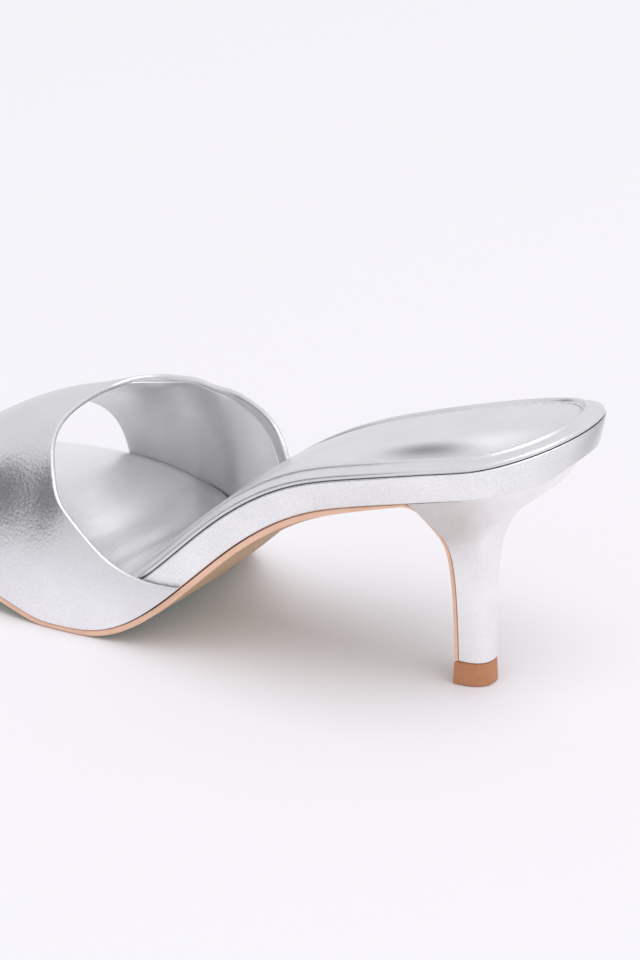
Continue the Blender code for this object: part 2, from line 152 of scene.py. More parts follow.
# The last over the forefoot. height is the crest's height above the board's underside in shares of the
# instep height, crest its place across in shares of the ball width, and lateral and medial are how far
# the middle of each side swells, in shares of the ball width.
LAST_COLUMNS = ("at", "height", "crest", "lateral", "medial")
LAST = (
    (0.447, 1.080, -0.100, 0.012, -0.050),
    (0.526, 1.110, -0.115, 0.012, -0.035),
    (0.605, 1.100, -0.135, 0.012, -0.010),
    (0.664, 1.060, -0.155, 0.010, 0.000),
    (0.724, 0.910, -0.165, 0.005, 0.000),
    (0.783, 0.780, -0.170, 0.000, 0.000),
    (0.842, 0.630, -0.175, 0.000, 0.000),
    (0.901, 0.450, -0.180, 0.000, 0.000),
)

# How full the section is: reach of its curve's handles up from the feather, and out from the crest to
# the lateral and to the medial side
FEATHER_HANDLE = 0.68
LATERAL_HANDLE = 0.70
MEDIAL_HANDLE = 0.54

# The vamp band's two edges as shares of the footbed's length. around runs from the lateral feather (0)
# over the crest (1) to the medial feather (2).
BAND_COLUMNS = ("around", "throat", "toe")
BAND = (
    (0.00, 0.492, 0.803),
    (0.10, 0.539, 0.808),
    (0.21, 0.596, 0.815),
    (0.31, 0.647, 0.825),
    (0.43, 0.685, 0.838),
    (0.57, 0.712, 0.852),
    (0.75, 0.732, 0.869),
    (1.00, 0.732, 0.879),
    (1.20, 0.703, 0.862),
    (1.40, 0.598, 0.829),
    (1.60, 0.516, 0.806),
    (1.80, 0.464, 0.797),
    (2.00, 0.440, 0.792),
)

# The heel's flare. rise is the share of its height. front, width and back are how far its breast face,
# its width and its back have spread from the stem to the seat there (the back first draws in), and flap
# is the outsole flap's width as a share of the breast's.
HEEL_COLUMNS = ("rise", "front", "width", "back", "flap")
HEEL = (
    (0.000, 0.000, 0.000, 0.000, 1.00),
    (0.200, 0.100, 0.000, -0.016, 1.00),
    (0.400, 0.280, 0.000, -0.044, 1.00),
    (0.500, 0.405, 0.012, -0.054, 1.00),
    (0.550, 0.470, 0.030, -0.046, 1.00),
    (0.610, 0.545, 0.075, -0.018, 0.99),
    (0.670, 0.620, 0.155, 0.075, 0.98),
    (0.730, 0.690, 0.280, 0.262, 0.97),
    (0.790, 0.765, 0.430, 0.468, 0.96),
    (0.850, 0.835, 0.590, 0.670, 0.95),
    (0.910, 0.900, 0.750, 0.850, 0.95),
    (0.960, 0.950, 0.885, 0.950, 0.95),
    (1.000, 1.000, 1.000, 1.000, 0.95),
)
STEM_SQUARENESS = 0.80

# How finely the pieces are made
FOOTBED_COLUMNS = 6
BOARD_LOOP_ROWS = 150
SOCK_LOOP_ROWS = 170
SOCK_LOOP_COLUMNS = 40
SOLE_LOOP_ROWS = 130
HEEL_COLUMNS_FINE = 16
FINE_HEEL_ROWS = 40
FINE_HEEL_LEVELS = 70
FLAP_LEVELS = 50
FINE_FILLET_ROWS = 12
VAMP_TURNS = 180
VAMP_MIDDLE_ROWS = 44
RIM_STEPS = 8
WRAP_STEPS = 4
EDGE_STEPS = 3
STITCH_RINGS = 7
STITCH_SIDES = 8
CREASE_ANGLE = 40

# Rounded edges of the pieces, and how far up the breast the flap runs before it turns into the sole
WRAP_FOLD = 0.0005
WRAP_SWELL = 0.00015
HEEL_EDGE = 0.0003
TIP_EDGE = 0.0004
SOLE_ARRIS = 0.00035
FLAP_TOP = 0.91

# The outsole's trimmed edge: shares of the way down, and how far the last is drawn in, in arrises
SOLE_EDGE_LEVELS = (0.1, 0.3, 0.5, 0.7)
SOLE_TURN_LEVEL = 0.87
SOLE_TURN_SHARE = 0.25

# The sock's section: inset from the board's edge and rise above the sock's underside
SOCK_SECTION = (
    (0.00040, 0.00040),
    (0.00043, 0.00080),
    (0.00060, 0.00105),
    (0.00100, 0.00130),
    (0.00170, 0.00160),
    (0.00250, 0.00190),
    (0.00320, 0.00206),
    (0.00360, 0.00222),
    (0.00390, 0.00262),
    (0.00420, 0.00296),
    (0.00455, 0.00310),
    (0.00490, 0.00296),
    (0.00520, 0.00248),
    (0.00550, 0.00205),
    (0.00590, 0.00192),
    (0.00640, 0.00200),
    (0.00700, 0.00238),
    (0.00780, 0.00268),
    (0.00880, 0.00290),
)

# Where along the footbed the sock's ridge and groove fade out
SOCK_RIM_FADE = (0.56, 0.66)

# Folds of the sock: place along and across, turn, reach along and across the fold, and rise. The bow
# bends each of them into a shallow arc.
SOCK_FOLDS = (
    (0.715, -0.330, 1.62, 0.0300, 0.0050, 0.0007),
    (0.660, -0.260, 1.75, 0.0260, 0.0060, -0.0006),
    (0.640, -0.150, 1.55, 0.0300, 0.0060, 0.0005),
)
FOLD_BOW = 6.0

# Soft waves of the vamp: place along, place around, reach along, reach around, rise. The last three
# even out the throat's rim.
VAMP_FOLDS = (
    (0.700, 0.45, 0.050, 0.20, -0.0004),
    (0.760, 0.62, 0.040, 0.16, 0.0003),
    (0.640, 0.20, 0.040, 0.12, 0.0002),
    (0.670, 1.31, 0.040, 0.05, -0.0009),
    (0.710, 1.18, 0.040, 0.07, 0.0011),
    (0.560, 1.47, 0.040, 0.08, 0.0007),
)

# The vamp's rims: the distances of their rows from the edge, the width that is turned over at the
# throat, and the edge, thickness and groove of the lining beyond it
RIM_ROWS = (
    0.0008, 0.0011, 0.0015, 0.0020, 0.0025, 0.0028, 0.0030,
    0.0032, 0.0034, 0.0036, 0.0039, 0.0044, 0.0055,
)
RIM_FOLD = 0.0031
LINING_EDGE = 0.0004
LINING_THICKNESS = 0.0002
LINING_GROOVE = 0.00015

# Stitches of the sock
STITCH_INSET = 0.0061
STITCH_RISE = 0.00212
STITCH_END = 0.60
STITCH_PITCH = 0.0027
STITCH_LENGTH = 0.0021
STITCH_RADIUS = 0.00027
STITCH_POWER = 4
STITCH_SLANT = 6

# Sizes and depths of the leathers' grain and of the thread's twist, in metres
PEBBLE_SIZE = 0.0009
PEBBLE_DEPTH = 0.00008
FINE_SIZE = 0.00045
CRINKLE_DEPTH = 0.00003
CLOUD_SIZE = 0.012
WAVE_SIZE = 0.006
WAVE_DEPTH = 0.00008
TAN_CLOUD_SIZE = 0.006
TAN_DEPTH = 0.00003
THREAD_TWIST = 0.0007
THREAD_DEPTH = 0.00005

# Strength of each silver leather's grain and crinkles, and depth of its speckle
SOCK_TEXTURE = (0.40, 0.6, 0.06)
WRAP_TEXTURE = (0.70, 1.0, 0.14)
VAMP_TEXTURE = (0.75, 0.9, 0.10)
LINING_TEXTURE = (0.30, 0.5, 0.04)
COVER_TEXTURE = (0.50, 0.9, 0.08)

# Roughness of the tan leathers and the top piece, and the size of their fibres in metres
TAN_EDGE_SURFACE = (0.42, 0.0008)
TAN_UNDER_SURFACE = (0.55, 0.0012)
TIP_SURFACE = (0.38, 0.0006)
TAN_ROUGHNESS_SPREAD = 0.06
TAN_STRENGTH = 0.5

# The noises: the part of their range that is used, and detail and roughness
NOISE_RANGE = (0.3, 0.7)
SPECKLE_RANGE = (0.35, 0.65)
PEBBLE_SMOOTHNESS = 0.6
FINE_NOISE = (3.0, 0.6)
TAN_CLOUD_NOISE = (4.0, 0.6)
TAN_FIBRE_NOISE = (4.0, 0.65)

# The finish of the silver and of the thread
SILVER_METAL = 0.92
LINING_METAL = 0.70
COAT_WEIGHT = 0.12
COAT_ROUGHNESS = 0.25
THREAD_METAL = 0.5
THREAD_ROUGHNESS = 0.45
THREAD_DISTORTION = 0.5
THREAD_STRENGTH = 0.6

# Colours
SOCK_SILVER = (0.77, 0.77, 0.775)
WRAP_SILVER = (0.98, 0.98, 0.98)
VAMP_SILVER = (0.74, 0.74, 0.75)
# The lining's silver is lighter than the vamp's outer silver: painted light for the dim inside of the vamp
LINING_SILVER_WITH_PAINTED_LIGHT = (0.96, 0.96, 0.965)
COVER_SILVER = (0.98, 0.97, 0.97)
SILVER_SHADE = 0.94
SILVER_ROUGHNESS = (0.28, 0.40)
THREAD_DARK = (0.55, 0.55, 0.56)
THREAD_LIGHT = (0.85, 0.85, 0.86)
TAN_EDGE_DARK = (0.88, 0.54, 0.38)
TAN_EDGE_LIGHT = (0.96, 0.63, 0.46)
TAN_UNDER_DARK = (0.50, 0.33, 0.20)
TAN_UNDER_LIGHT = (0.58, 0.40, 0.25)
TIP_DARK = (0.50, 0.20, 0.09)
TIP_LIGHT = (0.58, 0.25, 0.12)

# Painted light and shade on the silver, each row a soft patch: place, turn about Z in degrees, reach along
# and across and up, and gain
SOCK_PAINTED_LIGHT_AND_SHADE = (
    # Painted shade: a dark streak on the seat near its lateral edge
    ((-0.0750, 0.0308, 0.0720), 0.0, (0.0210, 0.0070, 0.0120), 0.38),
    # Painted highlight on the seat, behind the streak
    ((-0.0915, 0.0255, 0.0760), 12.0, (0.0170, 0.0100, 0.0120), 1.26),
    # Painted light over the forefoot of the footbed, inside the vamp
    ((0.0450, -0.0100, 0.0150), 0.0, (0.1100, 0.0800, 0.0500), 1.27),
)
# Painted shade on the back of the board's wall, darkest at its very back
WRAP_PAINTED_SHADE = (
    ((-0.1135, 0.0060, 0.0760), 0.0, (0.0170, 0.0170, 0.0300), 0.56),
    ((-0.1080, 0.0160, 0.0730), 0.0, (0.0400, 0.0300, 0.0300), 0.88),
)
# Painted light on the vamp's low lateral side, standing in for its bright reflection of the floor
VAMP_PAINTED_LIGHT = (((0.0350, 0.0450, 0.0020), 0.0, (0.0900, 0.0500, 0.0300), 1.32),)

# The photograph's frame and camera. The angles are in degrees, the focal length and the centre in
# pixels, the sensor's width in millimetres, and the target is in the sections' frame.
IMAGE_WIDTH = 640
IMAGE_HEIGHT = 960
VIEW_AZIMUTH = 31.56
VIEW_ELEVATION = 23.41
VIEW_ROLL = -0.46
VIEW_FOCAL = 4982.0
VIEW_CENTRE_X = 265.6
VIEW_CENTRE_Y = 527.1
VIEW_DISTANCE = 1.3716
VIEW_TARGET = (0.103, 0.0, 0.030)
SENSOR_WIDTH = 36.0
CLIP_START = 0.05
CLIP_END = 50.0

# The studio. The surroundings are brighter in reflections than as a light.
FLOOR_SIZE = 12.0
FLOOR_DROP = -0.0001
FLOOR_COLOUR = (0.90, 0.85, 0.875)
FLOOR_GLOW_COLOUR = (0.1, 0.8, 1.0)
FLOOR_GLOW = 0.05
FLOOR_ROUGHNESS = 0.9
FLOOR_SPECULAR = 0.1
SKY_COLOUR = (0.98, 0.98, 1.0)
SKY_STRENGTH = 0.68
SKY_IN_GLOSS = 0.95
LIGHT_AIM = (0.0, 0.0, 0.03)
SOFT_BOXES = (("key", (-2.2, 0.48, 5.2), (4.6, 4.6), 155.0),)
# Cards seen only in the silver: name, direction round and up, size, and glow
CARD_DISTANCE = 1.5
CARD_BLACK = (0.02, 0.02, 0.02)
CARDS = (
    ("card_dark", 27.0, 16.0, (1.05, 0.90), 0.0),
    ("card_bright", 62.0, -6.0, (0.55, 0.22), 1.35),
)


def column(table, names, name):
    """One named column of a table as an array."""
    return np.array([row[names.index(name)] for row in table])


def spline(knots, values, at):
    """Natural cubic spline through the knots, read at each place in at."""
    count = len(knots)
    step = np.diff(knots)
    rise = np.diff(values) / step
    system = np.eye(count)
    right = np.zeros(count)
    for i in range(1, count - 1):
        system[i, i - 1 : i + 2] = (step[i - 1], 2 * (step[i - 1] + step[i]), step[i])
        right[i] = 6 * (rise[i] - rise[i - 1])
    bend = np.linalg.solve(system, right)
    at = np.clip(np.asarray(at, float), knots[0], knots[-1])
    cell = np.clip(np.searchsorted(knots, at) - 1, 0, count - 2)
    width = step[cell]
    before = (knots[cell + 1] - at) / width
    after = 1 - before
    bending = (before**3 - before) * bend[cell] + (after**3 - after) * bend[cell + 1]
    return before * values[cell] + after * values[cell + 1] + bending * width**2 / 6


def smooth(share):
    """A share from 0 to 1 eased at both ends."""
    share = np.clip(share, 0, 1)
    return share * share * (3 - 2 * share)


def read(table, names, name, at):
    """A column read by spline at places along the table's first column."""
    return spline(column(table, names, names[0]), column(table, names, name), at)


def unroll(at):
    """Share of the length turned into an angle share, in which a round end is straight."""
    return np.arccos(np.clip(1 - 2 * np.asarray(at, float), -1, 1)) / math.pi


def edge(side, at):
    """Signed distance across from the heel's centre line to the board's edge."""
    knots = unroll(column(OUTLINE, OUTLINE_COLUMNS, "at"))
    shares = column(OUTLINE, OUTLINE_COLUMNS, side)
    return spline(knots, shares, unroll(at)) * BALL_WIDTH


def board_height(at):
    """Height of the board's underside above the floor."""
    seat = read(PROFILE, PROFILE_COLUMNS, "seat", at) * SEAT_RISE
    spring = read(PROFILE, PROFILE_COLUMNS, "spring", at) * TOE_SPRING
    return OUTSOLE_THICKNESS + GAP + seat + spring


def profile_normal(at):
    """Unit normal of the board's underside in the side view, pointing up, as x and z."""
    low = np.clip(np.asarray(at, float) - NORMAL_STEP, 0, 1)
    high = np.clip(np.asarray(at, float) + NORMAL_STEP, 0, 1)
    slope = (board_height(high) - board_height(low)) / ((high - low) * FOOTBED_LENGTH)
    length = np.hypot(1, slope)
    return -slope / length, 1 / length


def lifted(plan, lift):
    """Plan points carried to a lift above the board's underside, measured square to its profile."""
    at = np.clip(plan[..., 0] / FOOTBED_LENGTH, 0, 1)
    normal_x, normal_z = profile_normal(at)
    x = plan[..., 0] + normal_x * lift
    z = board_height(at) + normal_z * lift
    return np.stack([x, plan[..., 1], z], -1)


def footbed_loop(start, rows):
    """The board's plan outline from a share of its length: out along the lateral side, back the other."""
    turn = np.linspace(unroll(start), 1, rows + 1)
    at = (1 - np.cos(math.pi * turn)) / 2
    lateral, medial = (np.stack([at * FOOTBED_LENGTH, edge(s, at)], -1) for s in ("lateral", "medial"))
    return np.concatenate([lateral, medial[::-1]])


def unit(vectors):
    """Vectors brought to unit length."""
    return vectors / np.linalg.norm(vectors, axis=-1, keepdims=True)


def inset_loop(loop, distance, closed=True):
    """The loop moved inwards by a distance. Its toe is a doubled point, and so is a closed one's back."""
    half = len(loop) // 2
    doubles = [half, 0] if closed else [half]
    single = np.delete(loop, doubles, axis=0)
    amount = np.delete(np.broadcast_to(distance, len(loop)), doubles)
    ahead = unit(np.roll(single, -1, 0) - single)
    behind = unit(single - np.roll(single, 1, 0))
    if not closed:
        ahead[-1] = behind[-1]
        behind[0] = ahead[0]
    along = unit(ahead + behind)
    inward = np.stack([along[:, 1], -along[:, 0]], -1)
    moved = single + inward * amount[:, None]
    toe = half - len(doubles)
    moved = np.insert(moved, toe, moved[toe], axis=0)
    return np.concatenate([moved[-1:], moved]) if closed else moved


def across(loop, columns=FOOTBED_COLUMNS):
    """Rows of points that fill a plan loop from its lateral side to its medial side."""
    half = len(loop) // 2
    share = np.linspace(0, 1, columns + 1)[None, :, None]
    lateral = loop[:half, None, :]
    medial = loop[: half - 1 : -1, None, :]
    return lateral + (medial - lateral) * share


def perimeter(rows, columns):
    """Indices of the points round the rim of a grid, in order."""
    index = np.arange(rows * columns).reshape(rows, columns)
    return [*index[:, 0], *index[-1, 1:-1], *index[::-1, -1], *index[0, -2:0:-1]]


def grid_faces(rows, columns, start):
    """Quads of a grid of points whose first index is start."""
    faces = []
    for i in range(rows - 1):
        for j in range(columns - 1):
            corner = start + i * columns + j
            faces.append((corner, corner + 1, corner + columns + 1, corner + columns))
    return faces


def board_lean(loop):
    """Inset of the board's lower edge: its wall leans in round the seat, most of all at the back."""
    at = loop[:, 0] / FOOTBED_LENGTH
    round_seat = smooth((WALL_LEAN_END - at) / (WALL_LEAN_END - WALL_LEAN_START))
    back = np.clip(1 - loop[:, 0] / BOARD_BACK_REACH, 0, 1)
    return BOARD_WALL_LEAN * round_seat + BOARD_BACK_LEAN * back * back


def board_under(plan):
    """Plan points on the board's underside, which hangs lower at the very back of the seat."""
    points = lifted(plan, 0.0)
    points[..., 2] -= BOARD_BACK_DROP * smooth(1 - plan[..., 0] / BOARD_BACK_REACH)
    return points


def vamp_inside(at, around):
    """Points of the last under the vamp: a section across the board, swept along it."""
    lateral = around <= 1
    side = np.where(lateral, around, 2 - around)
    low = np.clip(at - NORMAL_STEP, 0, 1)
    high = np.clip(at + NORMAL_STEP, 0, 1)
    feather = np.empty_like(at)
    swell = np.empty_like(at)
    reach = np.where(lateral, LATERAL_HANDLE, MEDIAL_HANDLE)
    for name, pick, sign in (("lateral", lateral, 1), ("medial", ~lateral, -1)):
        slope = (edge(name, high) - edge(name, low)) / ((high - low) * FOOTBED_LENGTH)
        clear = sign * UPPER_CLEARANCE * np.hypot(1, slope)
        feather[pick] = (edge(name, at) + clear)[pick]
        swell[pick] = (read(LAST, LAST_COLUMNS, name, at) * BALL_WIDTH)[pick]
    crest = read(LAST, LAST_COLUMNS, "crest", at) * BALL_WIDTH
    height = read(LAST, LAST_COLUMNS, "height", at) * INSTEP_HEIGHT
    shares = ((1 - side) ** 3, 3 * side * (1 - side) ** 2, 3 * side**2 * (1 - side), side**3)
    y_knots = (feather, feather, crest + reach * (feather - crest), crest)
    rise_knots = (0 * height, FEATHER_HANDLE * height, height, height)
    y = sum(share * knot for share, knot in zip(shares, y_knots)) + swell * (4 * side * (1 - side)) ** 2
    rise = sum(share * knot for share, knot in zip(shares, rise_knots))
    normal_x, normal_z = profile_normal(at)
    lean = BOARD_THICKNESS * np.tanh(rise / BOARD_THICKNESS)
    x = at * FOOTBED_LENGTH + normal_x * lean
    z = board_height(at) + rise - (1 - normal_z) * lean
    return np.stack([x, y, z], -1)


# The top piece reaches under the flap: how many times the stem's depth it is deep, and its middle
TIP_DEEPER = 1 + (GAP + FLAP_THICKNESS) / HEEL_STEM_DEPTH
TIP_MIDDLE = HEEL_STEM_SETBACK + HEEL_STEM_DEPTH * TIP_DEEPER / 2


def frame_offset():
    """From the sections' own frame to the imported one, read where the top piece stands."""
    low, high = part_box("top_piece")
    return np.array([(low.x + high.x) / 2 - TIP_MIDDLE, (low.y + high.y) / 2, 0.0])


OFFSET = frame_offset()


def add_piece(name, points, faces, materials, replaces=(), zones=None, sharp=None):
    """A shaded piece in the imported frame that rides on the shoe. zones gives each face its material."""
    work = bmesh.new()
    corners = [work.verts.new(point) for point in points + OFFSET]
    for number, face in enumerate(faces):
        made = work.faces.new([corners[i] for i in face])
        made.material_index = zones[number] if zones is not None else 0
    bmesh.ops.remove_doubles(work, verts=work.verts, dist=WELD_DISTANCE)
    bmesh.ops.recalc_face_normals(work, faces=work.faces)
    mesh = bpy.data.meshes.new(name)
    work.to_mesh(mesh)
    work.free()
    for material in materials:
        mesh.materials.append(material)
    mesh.shade_smooth()
    if sharp:
        mesh.set_sharp_from_angle(angle=math.radians(sharp))
    piece = bpy.data.objects.new(name, mesh)
    bpy.context.scene.collection.objects.link(piece)
    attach(piece, "root")
    if replaces:
        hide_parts(*replaces)
    return piece


def layers_mesh(layers, zone_of=None):
    """Points and faces of a closed solid whose first and last layers are caps, and a zone for each face."""
    rows, columns, _ = layers[0].shape
    rim = perimeter(rows, columns)
    size = rows * columns
    rings = [layer.reshape(-1, 3)[rim] for layer in layers[1:-1]]
    points = np.concatenate([layers[0].reshape(-1, 3), layers[-1].reshape(-1, 3), *rings])
    levels = [list(rim)]
    levels += [[2 * size + k * len(rim) + i for i in range(len(rim))] for k in range(len(rings))]
    levels.append([size + i for i in rim])
    bottom = grid_faces(rows, columns, 0)
    top = grid_faces(rows, columns, size)
    faces = bottom + top
    zones = [0] * len(bottom) + [1] * len(top)
    for k in range(len(levels) - 1):
        low, high = levels[k], levels[k + 1]
        for i in range(len(rim)):
            n = (i + 1) % len(rim)
            faces.append((low[i], low[n], high[n], high[i]))
            zones.append(2)
    if zone_of:
        zones = [zone_of[zone] for zone in zones]
    return points, faces, zones


def quarter(steps):
    """Sine and cosine of the angles along a quarter circle."""
    turn = np.linspace(0, math.pi / 2, steps + 1)
    return list(zip(np.sin(turn), np.cos(turn)))


def make_board_wrap(material):
    """The board's leather wrap: its wall leans in downwards, swells a little and has rounded edges."""
    loop = footbed_loop(0.0, BOARD_LOOP_ROWS)
    lean = board_lean(loop)
    fold = quarter(WRAP_STEPS)
    profile = [(WRAP_FOLD * (1 - s), WRAP_FOLD * (1 - c)) for s, c in fold]
    for share in np.linspace(0, 1, WRAP_STEPS + 2)[1:-1]:
        height = WRAP_FOLD + share * (BOARD_THICKNESS - 2 * WRAP_FOLD)
        profile.append((-WRAP_SWELL * math.sin(math.pi * share), height))
    profile += [(WRAP_FOLD * (1 - c), BOARD_THICKNESS - WRAP_FOLD * (1 - s)) for s, c in fold]
    layers = []
    for inset, lift in profile:
        below = 1 - lift / BOARD_THICKNESS
        plan = across(inset_loop(loop, lean * below + inset))
        under = board_under(plan)
        layers.append(lifted(plan, lift) + (under - lifted(plan, 0.0)) * below)
    points, faces, _ = layers_mesh(layers)
    add_piece("board_wrap", points, faces, [material], ["insole_board"])


def pad_rise(at):
    """How far the forefoot pad lifts the sock."""
    return SOCK_FOREFOOT_PAD * smooth((at - SOCK_PAD_START) / (SOCK_PAD_END - SOCK_PAD_START))


def sock_folds(plan):
    """Soft ridges and troughs of the sock, laid across the forefoot and along the arch."""
    height = np.zeros(plan.shape[:2])
    for at, side, turn, length, width, rise in SOCK_FOLDS:
        x = plan[..., 0] - at * FOOTBED_LENGTH
        y = plan[..., 1] - side * BALL_WIDTH
        along = x * math.cos(turn) + y * math.sin(turn)
        cross = y * math.cos(turn) - x * math.sin(turn)
        bow = cross + FOLD_BOW * along * along
        height += rise * np.exp(-((along / length) ** 2) - (bow / width) ** 2)
    return height


def sock_base():
    """Height of the sock's underside above the board's."""
    return BOARD_THICKNESS + GAP


def sock_ring(loop, inset, rise):
    """A grid of the sock's surface at an inset from the board's edge and a rise above its underside."""
    plan = across(inset_loop(loop, inset), SOCK_LOOP_COLUMNS)
    at = plan[..., 0] / FOOTBED_LENGTH
    last_inset, last_rise = SOCK_SECTION[-1]
    plain = last_rise * math.sin(math.pi / 2 * inset / last_inset)
    start, end = SOCK_RIM_FADE
    front = smooth((at - start) / (end - start))
    return lifted(plan, sock_base() + rise + (plain - rise) * front + pad_rise(at))


def make_sock_pad(material):
    """The padded sock: thin edge, puffed rim, ridge, stitched groove and a crowned cushion."""
    loop = footbed_loop(0.0, SOCK_LOOP_ROWS)
    layers = [lifted(across(inset_loop(loop, SOCK_SETBACK), SOCK_LOOP_COLUMNS), sock_base())]
    for inset, rise in SOCK_SECTION:
        layers.append(sock_ring(loop, inset, rise))
    inset, rise = SOCK_SECTION[-1]
    plan = across(inset_loop(loop, inset), SOCK_LOOP_COLUMNS)
    side = 2 * np.linspace(0, 1, SOCK_LOOP_COLUMNS + 1) - 1
    width = np.abs(plan[:, 0, 1] - plan[:, -1, 1])
    fade = np.clip(width / (BALL_WIDTH / 2), 0, 1)[:, None]
    edge_fade = 1 - side**SOCK_CROWN_POWER
    dome = SOCK_CROWN * fade * edge_fade
    lift = sock_base() + rise + pad_rise(plan[..., 0] / FOOTBED_LENGTH) + dome
    layers.append(lifted(plan, lift + sock_folds(plan) * edge_fade * fade))
    points, faces, _ = layers_mesh(layers)
    piece = add_piece("sock_pad", points, faces, [material], ["padded_sock"])


def stitch_line(inset, rise):
    """The sock's seam as a closed line of points and the surface normals there."""
    loop = inset_loop(footbed_loop(0.0, SOCK_LOOP_ROWS), inset)
    half = len(loop) // 2
    single = np.delete(loop, [half, 0], axis=0)
    at = single[:, 0] / FOOTBED_LENGTH
    line = lifted(single, sock_base() + rise + pad_rise(at))
    normal_x, normal_z = profile_normal(np.clip(at, 0, 1))
    return line, np.stack([normal_x, 0 * normal_x, normal_z], -1)


def capsule(length, radius, rings, sides):
    """Points and faces of a stitch along X: a round rod with tapered ends."""
    share = np.linspace(-1, 1, rings)
    size = radius * np.sqrt(np.clip(1 - share**STITCH_POWER, 0, 1))
    turn = np.arange(sides) * 2 * math.pi / sides
    x = np.broadcast_to((share * length / 2)[:, None], (rings, sides))
    y = size[:, None] * np.cos(turn)
    z = size[:, None] * np.sin(turn)
    points = np.stack([x, y, z], -1).reshape(-1, 3)
    faces = []
    for i in range(rings - 1):
        for j in range(sides):
            n = (j + 1) % sides
            low, high = i * sides, (i + 1) * sides
            faces.append((low + j, low + n, high + n, high + j))
    return points, faces


def make_stitches(material):
    """The sock's row of stitches, each a short thread lying in the groove."""
    line, normals = stitch_line(STITCH_INSET, STITCH_RISE)
    closed = np.concatenate([line, line[:1]])
    normals = np.concatenate([normals, normals[:1]])
    run = np.concatenate([[0], np.cumsum(np.linalg.norm(np.diff(closed, axis=0), axis=1))])
    count = int(round(run[-1] / STITCH_PITCH))
    rod, rod_faces = capsule(STITCH_LENGTH, STITCH_RADIUS, STITCH_RINGS, STITCH_SIDES)
    points = []
    faces = []
    kept = 0
    for number in range(count):
        place = (number + 0.5) * run[-1] / count
        if np.interp(place, run, closed[:, 0]) > STITCH_END * FOOTBED_LENGTH:
            continue
        ends = [place - STITCH_LENGTH / 2, place, place + STITCH_LENGTH / 2]
        back, middle, front = (np.array([np.interp(e, run, closed[:, k]) for k in range(3)]) for e in ends)
        along = unit(front - back)
        up = unit(np.array([np.interp(place, run, normals[:, k]) for k in range(3)]))
        across_way = unit(np.cross(up, along))
        up = np.cross(along, across_way)
        lean = math.radians(STITCH_SLANT)
        way = along * math.cos(lean) + across_way * math.sin(lean)
        beside = across_way * math.cos(lean) - along * math.sin(lean)
        start = kept * len(rod)
        kept += 1
        points.append(middle + rod[:, :1] * way + rod[:, 1:2] * beside + rod[:, 2:] * up)
        faces += [tuple(start + i for i in face) for face in rod_faces]
    add_piece("sock_stitches", np.concatenate(points), faces, [material])


def vamp_rows(length):
    """Places along the band's rows, in shares of each row's length, closer together at both rims."""
    near = np.array(RIM_ROWS)
    middle = np.linspace(0, 1, VAMP_MIDDLE_ROWS + 2)[1:-1]
    last = near[-1]
    near = near[None, :] / length[:, None]
    inner = last / length[:, None]
    return np.concatenate([near, inner + (1 - 2 * inner) * middle, 1 - near[:, ::-1]], 1)


def lining_step(distance):
    """How far the lining stands in: nothing on the turned-over rim, a groove, then the lining."""
    step = smooth((distance - RIM_FOLD) / LINING_EDGE)
    groove = np.exp(-(((distance - RIM_FOLD) / LINING_EDGE) ** 2))
    return LINING_THICKNESS * step - LINING_GROOVE * groove


def make_vamp(material, lining):
    """The vamp band: outer leather and lining in one shell, with rounded rims."""
    turn = np.linspace(0, math.pi, VAMP_TURNS + 1)
    around = 1 - np.cos(turn)
    throat = read(BAND, BAND_COLUMNS, "throat", around)
    toe = read(BAND, BAND_COLUMNS, "toe", around)
    length = (toe - throat) * FOOTBED_LENGTH
    share = vamp_rows(length)
    at = throat[:, None] + (toe - throat)[:, None] * share
    base = vamp_inside(at, np.broadcast_to(around[:, None], at.shape))
    along = unit(np.gradient(base, axis=1))
    normal = unit(np.cross(np.gradient(base, axis=0), np.gradient(base, axis=1)))
    if normal[VAMP_TURNS // 2, at.shape[1] // 2, 2] < 0:
        normal = -normal
    distance = share * length[:, None]
    swell = vamp_folds(at, around[:, None])
    outer = base + normal * (UPPER_WALL + swell)[..., None]
    inner = base + normal * (swell - lining_step(distance))[..., None]
    steps = np.linspace(0, math.pi, RIM_STEPS + 1)[1:-1]
    bends = []
    for row, way in ((-1, 1.0), (0, -1.0)):
        centre = (outer[:, row] + inner[:, row]) / 2
        arm = (outer[:, row] - inner[:, row]) / 2 * way
        reach = along[:, row] * way * np.linalg.norm(arm, axis=1, keepdims=True)
        bends.append(np.stack([centre + arm * math.cos(a) + reach * math.sin(a) for a in steps], 1))
    ring = np.concatenate([outer, bends[0], inner[:, ::-1], bends[1]], 1)
    turns, around_count, _ = ring.shape
    rows = outer.shape[1]
    lining_start = rows + RIM_STEPS - 1
    back = lining_start + rows - 1
    lining_end = back - sum(row < RIM_FOLD for row in RIM_ROWS)
    faces = []
    zones = []
    for i in range(turns - 1):
        for j in range(around_count):
            n = (j + 1) % around_count
            a, b = i * around_count, (i + 1) * around_count
            faces.append((a + j, a + n, b + n, b + j))
            zones.append(int(lining_start <= j < lining_end))
    for i in (0, turns - 1):
        start = i * around_count
        for j in range(rows - 1):
            faces.append((start + j, start + j + 1, start + back - j - 1, start + back - j))
        faces.append([start + rows - 1 + k for k in range(RIM_STEPS + 1)])
        faces.append([start + (back + k) % around_count for k in range(RIM_STEPS + 1)])
    zones += [0] * (len(faces) - len(zones))
    points = ring.reshape(-1, 3)
    add_piece("vamp", points, faces, [material, lining], ["upper"], zones)


def vamp_folds(at, around):
    """Soft waves of the vamp, laid one by one."""
    height = np.zeros(at.shape)
    for place, turn, reach, spread, rise in VAMP_FOLDS:
        height += rise * np.exp(-(((at - place) / reach) ** 2) - ((around - turn) / spread) ** 2)
    return height


